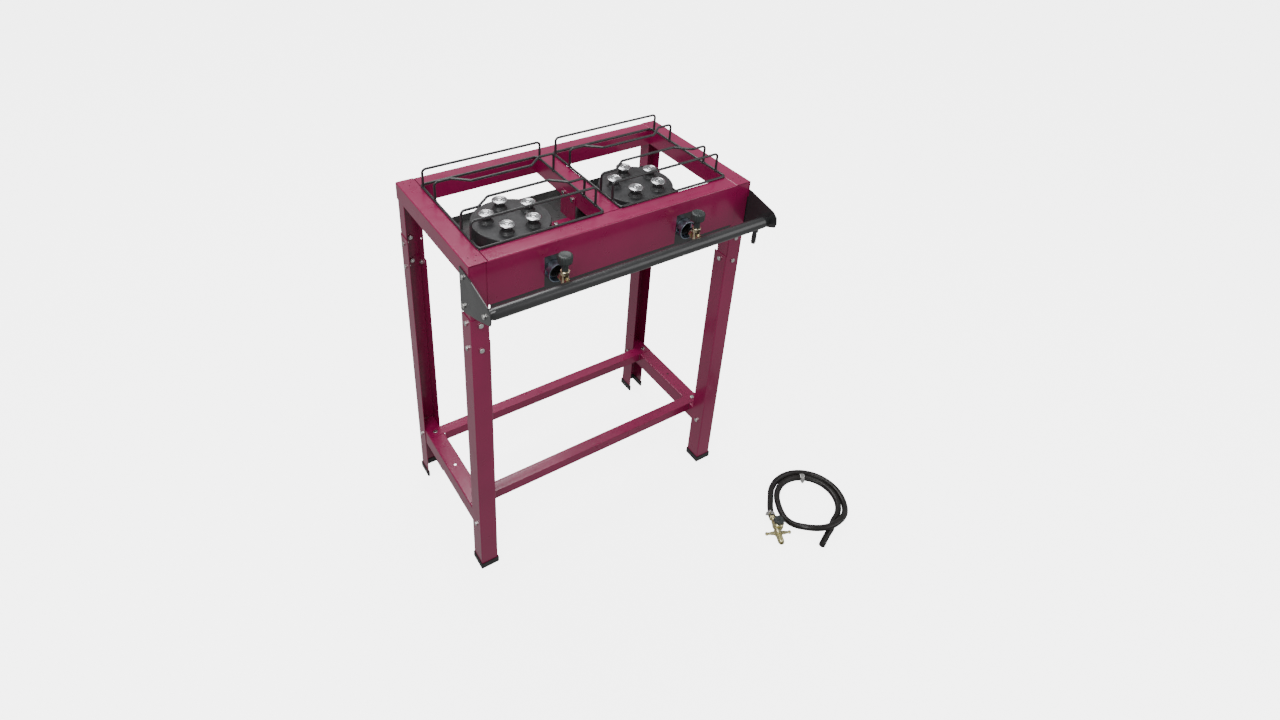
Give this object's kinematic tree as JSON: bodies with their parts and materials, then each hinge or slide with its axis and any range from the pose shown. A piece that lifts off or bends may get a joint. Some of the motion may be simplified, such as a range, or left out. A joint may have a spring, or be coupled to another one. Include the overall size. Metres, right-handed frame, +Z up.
{
  "type": "two-burner gas stand",
  "caption": "Tall gas stand with folded sheet-steel frame on channel legs, wire pot grates over ported burners, front gas pipe with valves, and a loose coiled hose with regulator.",
  "frame": {"origin": "on the floor under the middle of the stand's footprint, from the bracket tips at the front to the bolt heads at the back", "axes": "+Z up, +X to the right seen from the front, -Y out of the front panel with the valves"},
  "size_m": [0.9945, 0.814, 0.992],
  "materials": {
    "crimson_paint": "semi-gloss",
    "black_paint": "semi-gloss",
    "black_wire": "semi-gloss",
    "burner_iron": "satin",
    "bright_caps": "polished",
    "zinc_bolts": "satin",
    "zinc_cast": "satin",
    "brass": "satin",
    "injector_steel": "satin",
    "black_plastic": "satin",
    "foot_plastic": "matte",
    "hose_rubber": "satin",
    "kit_brass": "satin"
  },
  "bodies": {
    "stand": {"front_panel": "crimson_paint", "back_rail": "crimson_paint", "left_rail": "crimson_paint", "right_rail": "crimson_paint", "center_divider": "crimson_paint", "lower_rail_left": "crimson_paint", "lower_rail_right": "crimson_paint", "lower_rail_front": "crimson_paint", "lower_rail_back": "crimson_paint", "tray_hangers": "crimson_paint", "post_front_left": "crimson_paint", "post_front_right": "crimson_paint", "post_back_left": "crimson_paint", "post_back_right": "crimson_paint", "leg_front_left": "crimson_paint", "leg_front_right": "crimson_paint", "leg_back_left": "crimson_paint", "leg_back_right": "crimson_paint", "foot_front_left": "foot_plastic", "foot_front_right": "foot_plastic", "foot_back_left": "foot_plastic", "foot_back_right": "foot_plastic", "leg_bolts": "zinc_bolts", "lower_rail_bolts": "zinc_bolts", "hanger_bolts": "zinc_bolts", "bracket_bolts": "zinc_bolts", "heat_shield": "black_paint", "burner_tray": "black_paint", "manifold_bracket_left": "black_paint", "manifold_bracket_right": "black_paint", "manifold_pipe": "black_paint", "hose_barb": "black_paint", "mixer_tube_left": "black_paint", "mixer_tube_right": "black_paint", "burner_drum_left": "burner_iron", "burner_drum_right": "burner_iron", "burner_lid_left": "burner_iron", "burner_lid_right": "burner_iron", "burner_caps_left": "bright_caps", "burner_caps_right": "bright_caps", "valve_body_left": "brass", "valve_body_right": "brass", "injector_left": "injector_steel", "injector_right": "injector_steel"},
    "grate_left_body": {"grate_left": "black_wire"},
    "grate_right_body": {"grate_right": "black_wire"},
    "knob_left": {"valve_knob_left": "black_plastic"},
    "knob_right": {"valve_knob_right": "black_plastic"},
    "shutter_left": {"air_shutter_left": "zinc_cast"},
    "shutter_right": {"air_shutter_right": "zinc_cast"},
    "hose_kit": {"kit_hose_coil": "hose_rubber", "kit_hose_start": "hose_rubber", "kit_hose_end": "hose_rubber", "kit_clamp": "zinc_bolts", "kit_spare_clamp": "zinc_bolts", "kit_regulator": "kit_brass"},
    "regulator_knob": {"kit_knob": "black_plastic"},
    "wing_nut": {"kit_wing_nozzle": "kit_brass"}
  },
  "joints": [
    {"name": "valve_left_turn", "type": "hinge", "parent": "stand", "child": "knob_left", "pos_m": [-0.175, -0.19375, 0.928], "axis": [0, 0, 1], "range_deg": [0, 270]},
    {"name": "shutter_left_turn", "type": "hinge", "parent": "stand", "child": "shutter_left", "pos_m": [-0.175, -0.15375, 0.869], "axis": [0, 1, 0], "range_deg": [-30, 30]},
    {"name": "grate_left_lift", "type": "slide", "parent": "stand", "child": "grate_left_body", "axis": [0, 0, 1], "range_m": [0, 0.25]},
    {"name": "valve_right_turn", "type": "hinge", "parent": "stand", "child": "knob_right", "pos_m": [0.175, -0.19375, 0.928], "axis": [0, 0, 1], "range_deg": [0, 270]},
    {"name": "shutter_right_turn", "type": "hinge", "parent": "stand", "child": "shutter_right", "pos_m": [0.175, -0.15375, 0.869], "axis": [0, 1, 0], "range_deg": [-30, 30]},
    {"name": "grate_right_lift", "type": "slide", "parent": "stand", "child": "grate_right_body", "axis": [0, 0, 1], "range_m": [0, 0.25]},
    {"name": "hose_kit_lift", "type": "slide", "parent": "stand", "child": "hose_kit", "axis": [0, 0, 1], "range_m": [0, 0.4]},
    {"name": "regulator_knob_turn", "type": "hinge", "parent": "hose_kit", "child": "regulator_knob", "pos_m": [0.37268, -0.44844, 0.03], "axis": [0, 0, 1], "range_deg": [0, 180]},
    {"name": "wing_nut_spin", "type": "hinge", "parent": "hose_kit", "child": "wing_nut", "pos_m": [0.35553, -0.46573, 0.013], "axis": [-0.4321, -0.9018, 0], "continuous": true}
  ]
}
